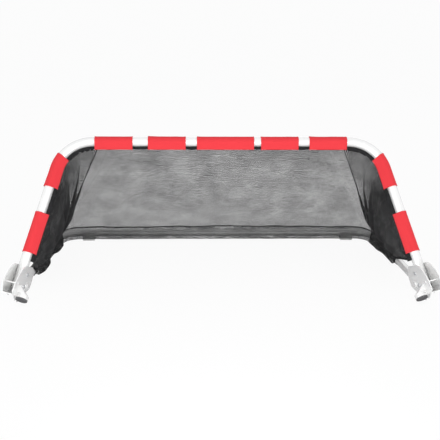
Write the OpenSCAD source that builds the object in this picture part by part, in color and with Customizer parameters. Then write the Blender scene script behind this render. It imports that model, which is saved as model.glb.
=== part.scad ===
// Low folding goal for street and floor hockey.
// A bent front frame leans back over a base frame, both held in a bracket at each front corner.
// A mesh net is rolled into a hem along the front frame and into casings on the base frame.
// Frame: X across the goal, Y from the mouth to the back, Z up, floor at Z = 0.

/* [Front frame] */
// Lean of the front frame back from upright, degrees
lean = 34; // [25:1:40]
// Splay of each leg from the middle line, measured in the frame's own plane, degrees
splay = 14.5; // [10:0.5:18]
// Half the distance between the leg axes where they meet the floor
half_width = 652; // [560:1:760]
// Distance up the frame from the floor to the axis of the top bar
rise = 530; // [500:1:600]
// Outside diameter of the front tube
tube_od = 32; // [30:0.5:34]
// Wall of the front tube
tube_wall = 1.5; // [1:0.1:3]
// Radius of the two bends, to the tube's axis
bend_r = 123; // [90:1:140]
// Distance up the leg from the floor to its cut end
leg_end = 41; // [38:1:43]

/* [Base frame] */
// Distance from the foot line back to the axis of the rear bar
base_depth = 595; // [500:5:700]
// Half the width of the base frame at its sharp rear corners
rear_half = 590; // [520:5:600]
// Outside diameter of the base tube
base_od = 25; // [22:0.5:25]
// Wall of the base tube
base_wall = 1.5; // [1:0.1:2.5]
// Radius of the two rear bends, to the tube's axis
base_bend_r = 80; // [60:1:120]

/* [Corner brackets] */
// Thickness of the two cheeks of a bracket
cheek = 3; // [2.5:0.1:4]
// Free space between the leg and each cheek
leg_gap = 1; // [0.5:0.1:1.5]
// Radius of the cheek's round front
cheek_r = 100; // [85:1:110]
// Distance up the leg to the centre of the cheek's round front
cheek_up = 18; // [14:1:22]
// Reach of the inner cheek behind the leg
cheek_back = 78; // [72:1:86]
// Radius of the inner cheek's round shoulder behind the leg
shoulder_r = 40; // [32:1:44]
// Distance up the leg to the bottom edge of the bracket
floor_up = 30; // [26:1:32]
// Distance of the pivot behind the leg axis
pivot_back = 40; // [38:0.5:44]
// Distance of the pivot up the leg
pivot_up = 58; // [56:0.5:62]
// Diameter of the threaded pivot stud
stud_d = 8; // [6:0.5:10]
// Outside diameter of the pivot bosses on the cheeks
boss_d = 24; // [20:0.5:28]
// Outside diameter of the round foot
foot_d = 39; // [34:0.5:42]
// Extra lean of the round foot beyond that of the leg, degrees
foot_tilt = 12; // [8:1:16]
// Distance of the foot's axis inwards from the leg axis
foot_in = 33; // [30:1:36]
// Distance of the foot's lower face in front of the leg axis
foot_front = 28; // [22:1:34]
// Thickness of the rubber cap under the foot
cap_t = 3; // [2:0.5:5]

/* [Fasteners] */
// Diameter of the bolts that hold each leg
bolt_d = 6; // [5:0.5:8]
// Head diameter of those bolts
bolt_head_d = 11; // [9.5:0.5:14]
// Distance of the lower bolt up the leg
bolt_low = 53; // [50:1:60]
// Distance between the two bolts of a leg
bolt_pitch = 39; // [30:1:45]
// Across-flats size of the nuts
nut_af = 10; // [9:0.5:13]
// Diameter of the rivet across the front of the cheeks
rivet_d = 5; // [4:0.5:7]
// Diameter of the clamping knob over its lobes
knob_d = 32; // [28:1:36]
// Thickness of the clamping knob
knob_t = 13; // [10:0.5:16]

/* [Wraps and net] */
// Thickness of the red wraps
wrap_t = 1.2; // [1:0.1:2]
// Length of the four short wraps on the top bar
wrap_l = 124; // [80:1:130]
// Length of the wrap in the middle of the top bar
centre_wrap_l = 188; // [120:1:200]
// Place of the middle wrap's centre across the bar
centre_at = 14; // [-30:1:30]
// Distance of the outer wraps from the ends of the bar's straight part
wrap_inset = 5; // [2:1:20]
// Gap between the two wraps on the left of the top bar
gap_left = 50; // [20:1:60]
// Gap between the two wraps on the right of the top bar
gap_right = 36; // [20:1:60]
// Length of the upper leg wraps on the straight leg
upper_wrap_below = 68; // [40:1:100]
// Length of the upper leg wraps on the bend
upper_wrap_above = 46; // [20:1:60]
// Distance up the leg to the lower wraps
lower_wrap_at = 160; // [150:1:170]
// Length of the lower leg wraps
lower_wrap_l = 135; // [90:1:150]
// Diameter of the rolled hem along the front frame
hem_d = 9; // [8:0.5:11]
// Distance up the leg to the lower end of the hem
hem_low = 136; // [132:1:150]
// Distance from the pivot to the front end of the side casings
casing_low = 100; // [95:1:140]
// Distance of the corner seams from the ends of the bar's straight part
seam_inset = 15; // [5:1:40]
// Thickness of the net sheet
net_t = 1.2; // [0.8:0.1:2]
// Thickness of the casings on the base frame
casing_t = 2; // [1.5:0.1:3]
// Sag of the back net below a straight line
net_sag = 30; // [10:1:50]
// Depth of the folds in the net
fold_depth = 9; // [4:0.5:14]

/* [Feet] */
// Width of the rubber feet under the rear bar, from front to back
rear_foot_w = 38; // [36:1:50]
// Length of the rubber feet along the rear bar
rear_foot_l = 44; // [30:1:60]

/* [Hidden] */
$fn = 64;

SEAT = 0.3;     // free space between pieces that rest on each other
TOUCH = 0.1;    // free space under bolt heads, nuts and caps
RUN = 0.05;     // radial clearance of the pivot stud in its bores
SLACK = 0.25;   // radial clearance of bolts, rivets and spigots in their holes
FACE = 0.5;     // free space at each end face of the pivot eye
WELD = 0.02;    // hairline where a straight part meets a bend
INSET = 0.5;    // end of a plate inside the cheek that it is welded to
CUT = 1;        // extra length of a cutting tool past the face it cuts

WHITE = [0.95, 0.95, 0.94];
RED = [0.88, 0.12, 0.13];
BLACK = [0.07, 0.07, 0.08];
MESH = [0.22, 0.22, 0.23];
GREY = [0.35, 0.35, 0.36];
STEEL = [0.7, 0.71, 0.72];

tube_r = tube_od / 2;
base_r = base_od / 2;
stud_r = stud_d / 2;
boss_r = boss_d / 2;
foot_r = foot_d / 2;
hem_r = hem_d / 2;
hem_off = tube_r + SEAT + hem_r;            // from the tube's axis to the hem's axis
cheek_in = tube_r + leg_gap;                // from the leg's axis to the near face of a cheek
cheek_out = cheek_in + cheek;               // and to its far face
casing_in = base_r + SEAT;
casing_out = casing_in + casing_t;

// The pivot, from its place on the cheeks.
pivot_v = pivot_up * cos(splay);
pivot_x = half_width - pivot_up * sin(splay);
pivot_y = pivot_back * cos(lean) + pivot_v * sin(lean);
pivot_z = pivot_v * cos(lean) - pivot_back * sin(lean);

// The origin lies under the middle of the goal, halfway between its foremost and rearmost points.
front_y = (cheek_up * cos(splay) - cheek_out * sin(splay)) * sin(lean) - cheek_r * cos(lean);
rear_y = base_depth + rear_foot_w / 2;
mid_y = (front_y + rear_y) / 2;

// Each frame is a U with splayed sides: half width at its start, splay, length, bend radius.
base_len = base_depth - pivot_y;
base_splay = atan((pivot_x - rear_half) / base_len);
FRONT = [half_width, splay, rise, bend_r];
BASE = [pivot_x, base_splay, base_len, base_bend_r];

// The foot's lower face just meets the floor with its lowest edge.
foot_rise = cos(foot_tilt) * cos(splay) * cos(lean) - sin(foot_tilt) * sin(lean);
foot_up = ((foot_r * sqrt(1 - foot_rise * foot_rise) - foot_front * sin(lean)) / cos(lean)
    + foot_in * sin(splay)) / cos(splay);

function mix(a, b, t) = a + (b - a) * t;
function unit(v) = v / norm(v);
function clamp(a, lo, hi) = min(max(a, lo), hi);

// Half the straight length of a U's cross bar, the length of one bend, and the end of a side.
function bar_half(u) = u[0] - u[2] * tan(u[1]) - u[3] * tan(45 - u[1] / 2);
function bend_len(u, off) = (u[3] - off) * (90 - u[1]) * PI / 180;
function side_end(u) = u[2] / cos(u[1]) - u[3] * tan(45 - u[1] / 2);

// A point on a U, d along it from the middle of its bar and off inside its axis: [across, along].
function u_point(u, d, off = 0) =
    let (b = bar_half(u), l = bend_len(u, off), r = u[3] - off, a = (d - b) / r * 180 / PI)
    d < b ? [d, u[2] - off] :
    d < b + l ? [b + r * sin(a), u[2] - u[3] + r * cos(a)] :
    let (k = d - b - l, t = 90 - u[1])
    [b + r * sin(t) + k * sin(u[1]), u[2] - u[3] + r * cos(t) - k * cos(u[1])];

// A place on the leaning front frame or on the flat base frame, in the goal's frame.
function on_front(p, e = 0) =
    [p[0], e * cos(lean) + p[1] * sin(lean) - mid_y, p[1] * cos(lean) - e * sin(lean)];
function on_base(p) = [p[0], p[1] + pivot_y - mid_y, pivot_z];

module in_front() translate([0, -mid_y, 0]) rotate([-lean, 0, 0]) children();
module in_base() translate([0, pivot_y - mid_y, pivot_z]) rotate([-90, 0, 0]) children();

// The left leg's own axes: X inwards, Y behind the frame, Z up the leg from the floor.
module on_leg() in_front() translate([-half_width, 0, 0]) rotate([0, splay, 0]) children();

// The left pivot's own axes: Z inwards along the pivot.
module on_pivot() translate([-pivot_x, pivot_y - mid_y, pivot_z]) rotate([0, 90, 0]) children();

module right_side() mirror([1, 0, 0]) children();
module both_sides() {
    children();
    right_side() children();
}

// An outline drawn in a leg's Y and Z, given a thickness along X from x0 to x1.
module across(x0, x1) translate([x0, 0, 0]) rotate([90, 0, 90]) linear_extrude(x1 - x0) children();

// A bolt-like cylinder along a leg's X axis, from x0 to x1, at Y and Z.
module rod_x(x0, x1, y, z, r) translate([x0, y, z]) rotate([0, 90, 0]) cylinder(h = x1 - x0, r = r);

// A straight pipe, or a solid rod where r_in is 0.
module pipe(h, r_out, r_in) difference() {
    cylinder(h = h, r = r_out);
    if (r_in > 0) translate([0, 0, -CUT]) cylinder(h = h + 2 * CUT, r = r_in);
}

// Pieces of a U in its own plane, X across and Z along: one side, one bend and the bar.
module u_side(u, from, to, off, r_out, r_in)
    translate([u[0], 0, 0]) rotate([0, -u[1], 0]) translate([-off, 0, from])
        pipe(to - from, r_out, r_in);
module u_bend(u, off, r_out, r_in, from = 0, to = 1) {
    turn = 90 - u[1];
    translate([bar_half(u), 0, u[2] - u[3]]) rotate([90, 0, 0])
        rotate([0, 0, u[1] + turn * from]) rotate_extrude(angle = turn * (to - from), $fn = 96)
            translate([u[3] - off, 0]) difference() {
                circle(r = r_out);
                if (r_in > 0) circle(r = r_in);
            }
}
module u_bar(u, off, r_out, r_in)
    translate([-bar_half(u), 0, u[2] - off]) rotate([0, 90, 0])
        pipe(2 * bar_half(u), r_out, r_in);

// Front frame --------------------------------------------------------------------------------

bolt_ups = [bolt_low, bolt_low + bolt_pitch];

module front_frame_tube() color(WHITE) {
    in_front() {
        u_bar(FRONT, 0, tube_r, tube_r - tube_wall);
        both_sides() u_bend(FRONT, 0, tube_r, tube_r - tube_wall);
    }
    both_sides() on_leg() difference() {
        translate([0, 0, leg_end]) pipe(side_end(FRONT) - leg_end, tube_r, tube_r - tube_wall);
        for (up = bolt_ups) rod_x(-tube_r - CUT, tube_r + CUT, 0, up, bolt_d / 2 + SLACK);
    }
}

// Corner bracket -----------------------------------------------------------------------------

// Bottom edge of the bracket, square to the foot's axis.
function bottom_up(e) = floor_up + e * tan(foot_tilt);
// Height up the leg at which a cheek would come within the given distance of the floor.
function floor_line(e, x, gap) = ((gap + e * sin(lean)) / cos(lean) + x * sin(splay)) / cos(splay);

floor_gap = 5;          // free space under the inner cheek
toe_e = -45;            // where the inner cheek runs down into the foot
toe_up = -1;
shoulder_up = 7;        // height of the inner cheek's shoulder over its round front
front_cut = 25;         // slanted cut at the outer cheek's front corner
pivot_lobe_r = 21;      // outer cheek round the pivot
rivet_e = -66;          // front rivet, in front of the leg
rivet_up = 49;

// The nylon eye on the end of the base tube fits between the canted cheeks, and a boss on each
// cheek fills the wedge that is left at either side of it.
eye_r = boss_r + 1;
eye_half = cheek_in / cos(splay) - eye_r * tan(splay) - FACE;
boss_face = cheek_out / cos(splay) + boss_r * tan(splay);
boss_cap = 1;           // closed end of the inner boss past the cheek
stud_short = 1.5;       // stud's end before the bottom of its hole

module cheek_front() intersection() {
    translate([0, cheek_up]) circle(r = cheek_r, $fn = 128);
    translate([-cheek_r, cheek_up]) square([cheek_r + CUT, cheek_r]);
}

module inner_cheek_outline() {
    heel = floor_line(cheek_back, cheek_in, floor_gap);
    shoulder = [cheek_back - shoulder_r, cheek_up + cheek_r + shoulder_up - shoulder_r];
    cheek_front();
    translate(shoulder) circle(r = shoulder_r);
    polygon([
        [0, cheek_up + cheek_r], [shoulder[0], shoulder[1] + shoulder_r], shoulder,
        [cheek_back, shoulder[1]], [cheek_back, heel],
        [-foot_front / 2, floor_line(-foot_front / 2, cheek_in, floor_gap)],
        [toe_e, toe_up], [-cheek_r + CUT, cheek_up - CUT], [-cheek_r, cheek_up]
    ]);
}

module outer_cheek_outline() {
    difference() {
        union() {
            cheek_front();
            polygon([
                [-cheek_r + front_cut, cheek_up], [0, cheek_up + cheek_r], [tube_r, cheek_up + cheek_r - 6],
                [tube_r + 4, pivot_up], [pivot_back, pivot_up - pivot_lobe_r + 2], [0, bottom_up(0)],
                [-cheek_r + front_cut, bottom_up(-cheek_r + front_cut)]
            ]);
        }
        polygon([
            [-cheek_r - CUT, cheek_up - CUT], [-cheek_r - CUT, cheek_up + front_cut],
            [-cheek_r + front_cut, cheek_up - CUT]
        ]);
    }
    translate([pivot_back, pivot_up]) circle(r = pivot_lobe_r);
}

// The floor of the bracket, a plate between the cheeks square to the foot's axis.
module bracket_floor() {
    reach = cheek_r - front_cut;
    across(-cheek_out + INSET, cheek_out - INSET) polygon([
        [-reach, bottom_up(-reach)], [tube_r, bottom_up(tube_r)],
        [tube_r, bottom_up(tube_r) - cheek], [-reach, bottom_up(-reach) - cheek]
    ]);
}

// The round foot's own axes: Z up its axis from its lower face.
module on_foot() on_leg() translate([foot_in, -foot_front, foot_up]) rotate([-foot_tilt, 0, 0]) children();

foot_len = 13;          // straight part of the round foot
flare = 24;             // height of the flare that carries it to the cheek
flare_w = 46;           // width of the flare where it meets the cheek
spigot = 9;             // length of the cap's spigot inside the foot
foot_bore_r = foot_r - cheek;
foot_low = cap_t + TOUCH;

module round_foot() {
    translate([0, 0, foot_low]) cylinder(h = foot_len, r = foot_r);
    hull() {
        translate([0, 0, foot_low + foot_len]) cylinder(h = TOUCH, r = foot_r, $fn = 40);
        translate([cheek_in - foot_in + INSET, -flare_w / 2, foot_low + foot_len])
            cube([cheek - 2 * INSET, flare_w, flare]);
    }
}

module left_bracket() color(WHITE) difference() {
    union() {
        on_leg() {
            across(cheek_in, cheek_out) inner_cheek_outline();
            across(-cheek_out, -cheek_in) outer_cheek_outline();
            bracket_floor();
        }
        on_foot() round_foot();
        on_pivot() {
            translate([0, 0, eye_half + FACE])
                cylinder(h = boss_face + boss_cap - eye_half - FACE, r = boss_r);
            translate([0, 0, -boss_face]) cylinder(h = boss_face - eye_half - FACE, r = boss_r);
        }
    }
    on_pivot() translate([0, 0, -boss_face - CUT])
        cylinder(h = 2 * boss_face + CUT - boss_cap, r = stud_r + RUN);
    on_leg() {
        for (up = bolt_ups) rod_x(-cheek_out - CUT, cheek_out + CUT, 0, up, bolt_d / 2 + SLACK);
        rod_x(-cheek_out - CUT, cheek_out + CUT, rivet_e, rivet_up, rivet_d / 2 + SLACK);
    }
    on_foot() {
        translate([0, 0, -CUT]) cylinder(h = foot_low + spigot + 2 * CUT, r = foot_bore_r);
        translate([0, 0, foot_low - flare]) cylinder(h = flare, r = foot_r + CUT);
    }
}
module left_corner_bracket() left_bracket();
module right_corner_bracket() right_side() left_bracket();

// Rubber cap pressed into the round foot.
module foot_cap() color(GREY) on_foot() {
    cylinder(h = cap_t, r = foot_r);
    cylinder(h = cap_t + spigot, r = foot_bore_r - SLACK);
}
module left_foot_cap() foot_cap();
module right_foot_cap() right_side() foot_cap();

// Fasteners ----------------------------------------------------------------------------------

bolt_head_t = 3.2;
nut_t = 5;
bolt_tail = 2;          // thread showing past the nut
socket_r = 2;

module leg_bolts() color(STEEL) on_leg() for (up = bolt_ups) difference() {
    union() {
        rod_x(cheek_out + TOUCH, cheek_out + TOUCH + bolt_head_t, 0, up, bolt_head_d / 2);
        rod_x(-cheek_out - TOUCH - nut_t - bolt_tail, cheek_out + 2 * TOUCH, 0, up, bolt_d / 2);
    }
    translate([cheek_out + TOUCH + bolt_head_t / 2, 0, up]) rotate([0, 90, 0])
        cylinder(h = bolt_head_t, r = socket_r, $fn = 6);
}
module left_leg_bolts() leg_bolts();
module right_leg_bolts() right_side() leg_bolts();

module leg_nuts() color(STEEL) on_leg() for (up = bolt_ups)
    translate([-cheek_out - TOUCH - nut_t, 0, up]) rotate([0, 90, 0]) difference() {
        cylinder(h = nut_t, d = nut_af / cos(30), $fn = 6);
        translate([0, 0, -CUT]) cylinder(h = nut_t + 2 * CUT, r = bolt_d / 2 + RUN);
    }
module left_leg_nuts() leg_nuts();
module right_leg_nuts() right_side() leg_nuts();

rivet_head_t = 1.6;
rivet_head_r = rivet_d / 2 + 2;

module cheek_rivets() color(WHITE) both_sides() on_leg() {
    rod_x(-cheek_out - TOUCH, cheek_out + TOUCH, rivet_e, rivet_up, rivet_d / 2);
    rod_x(cheek_out + TOUCH, cheek_out + TOUCH + rivet_head_t, rivet_e, rivet_up, rivet_head_r);
    rod_x(-cheek_out - TOUCH - rivet_head_t, -cheek_out - TOUCH, rivet_e, rivet_up, rivet_head_r);
}

// Clamping knob on a threaded stud, which is also the pivot of the base frame.
lobes = 5;
lobe_r = knob_d / 6;
knob_seat = boss_face + SEAT;

module knob() color(BLACK) on_pivot() translate([0, 0, -knob_seat - knob_t]) difference() {
    union() {
        cylinder(h = knob_t, r = knob_d / 2 - lobe_r);
        for (i = [0:lobes - 1]) rotate([0, 0, i * 360 / lobes])
            translate([knob_d / 2 - lobe_r, 0, 0]) cylinder(h = knob_t * 3 / 4, r = lobe_r);
    }
    translate([0, 0, knob_t / 4]) cylinder(h = knob_t, r = stud_r + RUN);
}
module left_knob() knob();
module right_knob() right_side() knob();

module knob_stud() color(STEEL) on_pivot() {
    low = -knob_seat - knob_t * 3 / 4 + TOUCH;
    translate([0, 0, low]) cylinder(h = boss_face - boss_cap - stud_short - low, r = stud_r);
}
module left_knob_stud() knob_stud();
module right_knob_stud() right_side() knob_stud();

// Wraps --------------------------------------------------------------------------------------

// A round of radius r1 drawn together with a smaller one, r2, d below it.
module egg(r1, r2, d) hull() {
    circle(r = r1, $fn = 36);
    translate([0, -d]) circle(r = r2, $fn = 24);
}

lap_w = 15;             // width of the hook-and-loop lap down the back of a wrap

// Section of a wrap: the tube lies at its origin, the hem below it and the lap at +X.
module wrap_section() difference() {
    union() {
        egg(tube_r + SEAT + wrap_t, hem_r + SEAT + wrap_t, hem_off);
        intersection() {
            egg(tube_r + SEAT + 2 * wrap_t, hem_r + SEAT + 2 * wrap_t, hem_off);
            translate([0, -lap_w]) square([tube_od, lap_w]);
        }
    }
    egg(tube_r + SEAT, hem_r + SEAT, hem_off);
}

module top_wrap(x0, x1) color(RED) in_front() translate([x0, 0, rise]) rotate([90, 0, 90])
    linear_extrude(x1 - x0) wrap_section();

far_left = -bar_half(FRONT) + wrap_inset;
far_right = bar_half(FRONT) - wrap_inset;
module top_wrap_far_left() top_wrap(far_left, far_left + wrap_l);
module top_wrap_left() top_wrap(far_left + wrap_l + gap_left, far_left + 2 * wrap_l + gap_left);
module top_wrap_centre() top_wrap(centre_at - centre_wrap_l / 2, centre_at + centre_wrap_l / 2);
module top_wrap_right() top_wrap(far_right - 2 * wrap_l - gap_right, far_right - wrap_l - gap_right);
module top_wrap_far_right() top_wrap(far_right - wrap_l, far_right);

module leg_wrap(from, to) on_leg() translate([0, 0, from]) linear_extrude(to - from)
    rotate([0, 0, 90]) wrap_section();

// The upper wrap runs from the straight leg on to the start of the bend.
module upper_wrap() color(RED) {
    leg_wrap(side_end(FRONT) - upper_wrap_below, side_end(FRONT));
    right_side() in_front() translate([bar_half(FRONT), 0, rise - bend_r]) rotate([90, 0, 0])
        rotate([0, 0, splay])
            rotate_extrude(angle = upper_wrap_above / bend_r * 180 / PI, $fn = 96)
                translate([bend_r, 0]) rotate([0, 0, -90]) wrap_section();
}
module lower_wrap() color(RED) leg_wrap(lower_wrap_at, lower_wrap_at + lower_wrap_l);
module left_wrap_upper() upper_wrap();
module right_wrap_upper() right_side() upper_wrap();
module left_wrap_lower() lower_wrap();
module right_wrap_lower() right_side() lower_wrap();

// Base frame ---------------------------------------------------------------------------------

tube_start = eye_r + 4;     // from the pivot to the end of the base tube
eye_spigot = 28;
eye_rivet_at = tube_start + eye_spigot / 2;
eye_rivet_r = 2.4;

// One side of the base tube, Z along it from the pivot.
module on_side() in_base() translate([pivot_x, 0, 0]) rotate([0, -base_splay, 0]) children();

// The base tube: a side with its rear bend at each end of a straight rear bar.
module base_tube() color(WHITE) {
    in_base() u_bend(BASE, 0, base_r, base_r - base_wall);
    on_side() difference() {
        start = tube_start + TOUCH;
        translate([0, 0, start]) pipe(side_end(BASE) - WELD - start, base_r, base_r - base_wall);
        translate([0, 0, eye_rivet_at]) rotate([90, 0, 0])
            cylinder(h = base_od + 2 * CUT, r = eye_rivet_r + SLACK, center = true);
    }
}
module right_base_tube() base_tube();
module left_base_tube() right_side() base_tube();
module rear_bar() color(WHITE) in_base() {
    half = bar_half(BASE) - WELD;
    translate([-half, 0, base_len]) rotate([0, 90, 0]) pipe(2 * half, base_r, base_r - base_wall);
}

module base_eye() color(GREY) difference() {
    union() {
        right_side() on_pivot() cylinder(h = 2 * eye_half, r = eye_r, center = true);
        on_side() {
            cylinder(h = tube_start, r = base_r);
            cylinder(h = tube_start + eye_spigot, r = base_r - base_wall - SLACK);
        }
    }
    right_side() on_pivot() cylinder(h = 2 * eye_half + 2 * CUT, r = stud_r + RUN, center = true);
    on_side() translate([0, 0, eye_rivet_at]) rotate([90, 0, 0])
        cylinder(h = base_od, r = eye_rivet_r + SLACK, center = true);
}
module right_base_eye() base_eye();
module left_base_eye() right_side() base_eye();

module eye_rivets() color(STEEL) both_sides() on_side() translate([0, 0, eye_rivet_at])
    rotate([90, 0, 0]) {
        cylinder(h = base_od + 2 * TOUCH, r = eye_rivet_r, center = true);
        for (s = [-1, 1]) translate([0, 0, s * (base_r + TOUCH + rivet_head_t / 2)])
            cylinder(h = rivet_head_t, r = eye_rivet_r + 1.6, center = true);
    }

foot_arm = 6;           // how far the rear foot's arms reach above the middle of the bar
foot_at = bar_half(BASE) - rear_foot_l / 2 - foot_arm;

// Rubber foot clipped on the rear bar from below, over its casing.
module rear_foot() color(WHITE) translate([foot_at - rear_foot_l / 2, base_depth - mid_y, 0])
    rotate([90, 0, 90]) linear_extrude(rear_foot_l) difference() {
        union() {
            translate([0, pivot_z]) circle(d = rear_foot_w);
            translate([-rear_foot_w / 2, 0]) square([rear_foot_w, pivot_z]);
        }
        translate([0, pivot_z]) circle(r = casing_out + SEAT);
        translate([-rear_foot_w, pivot_z + foot_arm]) square([2 * rear_foot_w, rear_foot_w]);
    }
module right_rear_foot() rear_foot();
module left_rear_foot() right_side() rear_foot();

// Net ----------------------------------------------------------------------------------------

// Rolled hem along the front frame, inside the tube.
module net_hem() color(BLACK) in_front() {
    u_bar(FRONT, hem_off, hem_r, 0);
    both_sides() {
        u_side(FRONT, hem_low, side_end(FRONT), hem_off, hem_r, 0);
        u_bend(FRONT, hem_off, hem_r, 0);
    }
}

// Casings that hold the net to the base tube: along the bar and along each side.
split = 0.005;          // share of the corner left open between two casings
module rear_casing() color(BLACK) in_base() {
    u_bar(BASE, 0, casing_out, casing_in);
    both_sides() u_bend(BASE, 0, casing_out, casing_in, 0.5 + split, 1);
}
module side_casing() color(BLACK) in_base() {
    u_side(BASE, casing_low, side_end(BASE) - WELD, 0, casing_out, casing_in);
    u_bend(BASE, 0, casing_out, casing_in, 0, 0.5 - split);
}
module right_casing() side_casing();
module left_casing() right_side() side_casing();

// The corner seam runs from the hem near the end of the bar to the middle of a rear bend.
hem_seam = bar_half(FRONT) - seam_inset;
base_seam = bar_half(BASE) + bend_len(BASE, 0) / 2;
hem_end = bar_half(FRONT) + bend_len(FRONT, hem_off) + side_end(FRONT) - hem_low;
base_end = bar_half(BASE) + bend_len(BASE, 0) + side_end(BASE) - casing_low;
seam_gap = 2;           // free space at each side of a seam

// How far along d a line has to start from the middle of a rod along t to be r clear of the middle.
function clear(d, t, r) = r / norm(cross(d, unit(t)));

// A point of the net, w of the way from the hem at distance a to the casing at distance b. It starts
// outside the wraps that go round the hem, and ends on the casing, a little further off round a bend.
net_start = hem_r + 2 * SEAT + 2 * wrap_t + 2 * net_t;
function net_stop(b) = casing_out + SEAT + (b > bar_half(BASE) ? net_t : 0);
function net_point(a, b, w) =
    let (p = on_front(u_point(FRONT, a, hem_off)), q = on_base(u_point(BASE, b)), d = unit(q - p),
        along_hem = on_front(u_point(FRONT, a + CUT, hem_off)) - p,
        along_base = on_base(u_point(BASE, b + CUT)) - q)
    mix(p + d * clear(d, along_hem, net_start), q - d * clear(d, along_base, net_stop(b)), w);

function wave(t) = sin(360 * t);
function hump(w) = sin(180 * w);

// Back panel: u from -1 at the left seam to 1 at the right seam. It sags between the bars, and
// folds run from the seams down to the rear corners.
back_normal = unit([0, rise * cos(lean), base_depth - rise * sin(lean)]);
corner_folds = 3;
function back_folds(u, w) = let (c = clamp((abs(u) - 0.7) / 0.3, 0, 1))
    fold_depth * hump(c) * wave(c * corner_folds + w / 3) * w * hump(w);
function back_point(u, w) = let (
        s = u < 0 ? -1 : 1, k = abs(u),
        p = net_point(k * (hem_seam - seam_gap), k * (base_seam - seam_gap), w),
        slack = 1 - pow(k, 6))
    [s * p[0], p[1], p[2]] + back_normal
        * (-net_sag * hump(w) * slack + back_folds(u, w) + fold_depth / 3 * wave(u * 2.5 + w) * hump(w) * slack);

// Side panel: t from 0 at the seam to 1 at the front. It hangs in pleats and bellies inwards.
pleats = 5;
function side_point(t, w) = let (
        p = net_point(mix(hem_seam + seam_gap, hem_end, t), mix(base_seam + seam_gap, base_end, t), w),
        slack = hump(w) * hump(clamp(t * 1.02, 0, 1)))
    p - [(net_sag + fold_depth * wave(t * pleats) * w) * slack, 0, 0];

// A closed sheet of two layers of points, each with nu + 1 columns and nv + 1 rows.
module sheet(layer_a, layer_b, nu, nv) {
    n = (nu + 1) * (nv + 1);
    function at(i, j) = j * (nu + 1) + i;
    cells = [for (j = [0:nv - 1]) for (i = [0:nu - 1]) [at(i, j), at(i + 1, j), at(i + 1, j + 1), at(i, j + 1)]];
    rim = concat(
        [for (i = [0:nu]) at(i, 0)], [for (j = [1:nv]) at(nu, j)],
        [for (i = [nu - 1:-1:0]) at(i, nv)], [for (j = [nv - 1:-1:1]) at(0, j)]);
    m = len(rim);
    polyhedron(
        points = concat(layer_a, layer_b),
        faces = concat(
            [for (c = cells) for (f = [[c[0], c[1], c[2]], [c[0], c[2], c[3]]]) f],
            [for (c = cells) for (f = [[c[0], c[2], c[1]], [c[0], c[3], c[2]]]) [for (k = f) k + n]],
            [for (k = [0:m - 1]) let (a = rim[k], b = rim[(k + 1) % m]) for (f = [[a, a + n, b], [b, a + n, b + n]]) f]));
}

back_cols = 56;
back_rows = 8;
module net_back() color(MESH) {
    grid = [for (j = [0:back_rows]) for (i = [0:back_cols]) back_point(2 * i / back_cols - 1, j / back_rows)];
    sheet(grid, [for (p = grid) p - back_normal * net_t], back_cols, back_rows);
}

side_cols = 30;
side_rows = 8;
module side_net() color(MESH) {
    grid = [for (j = [0:side_rows]) for (i = [0:side_cols]) side_point(i / side_cols, j / side_rows)];
    sheet(grid, [for (p = grid) p + [net_t, 0, 0]], side_cols, side_rows);
}
module net_right() side_net();
module net_left() right_side() side_net();

// Tape that ties the lower end of the hem to the base frame.
strap_w = 14;
strap_t = 1.5;
strap_steps = 8;
module corner_strap() color(BLACK) {
    top = on_front(u_point(FRONT, hem_end, hem_off)) + [0, SEAT, -hem_r - SEAT];
    foot = on_base(u_point(BASE, base_end)) - [casing_out + SEAT + strap_t + strap_w * tan(base_splay), 0, 0];
    grid = [for (j = [0:strap_steps]) for (i = [0:1]) let (w = j / strap_steps)
        mix(top, foot, w) + [-strap_w * hump(w) / 2, i * strap_w, 0]];
    sheet(grid, [for (p = grid) p + [strap_t, 0, 0]], 1, strap_steps);
}
module right_corner_strap() corner_strap();
module left_corner_strap() right_side() corner_strap();

front_frame_tube();
left_corner_bracket();
right_corner_bracket();
left_foot_cap();
right_foot_cap();
left_leg_bolts();
right_leg_bolts();
left_leg_nuts();
right_leg_nuts();
cheek_rivets();
top_wrap_far_left();
top_wrap_left();
top_wrap_centre();
top_wrap_right();
top_wrap_far_right();
left_wrap_upper();
left_wrap_lower();
right_wrap_upper();
right_wrap_lower();
net_hem();
net_back();
net_left();
net_right();
left_corner_strap();
right_corner_strap();
left_knob();
left_knob_stud();
right_knob();
right_knob_stud();
left_base_tube();
right_base_tube();
rear_bar();
left_base_eye();
right_base_eye();
eye_rivets();
left_rear_foot();
right_rear_foot();
rear_casing();
left_casing();
right_casing();
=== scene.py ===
"""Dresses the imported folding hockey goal: enamelled tubes, fabric wraps, the mesh net and its casings."""
import math

import bpy
import numpy as np
from bpy.props import FloatProperty, FloatVectorProperty, PointerProperty
from mathutils import Matrix, Vector, noise


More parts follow.
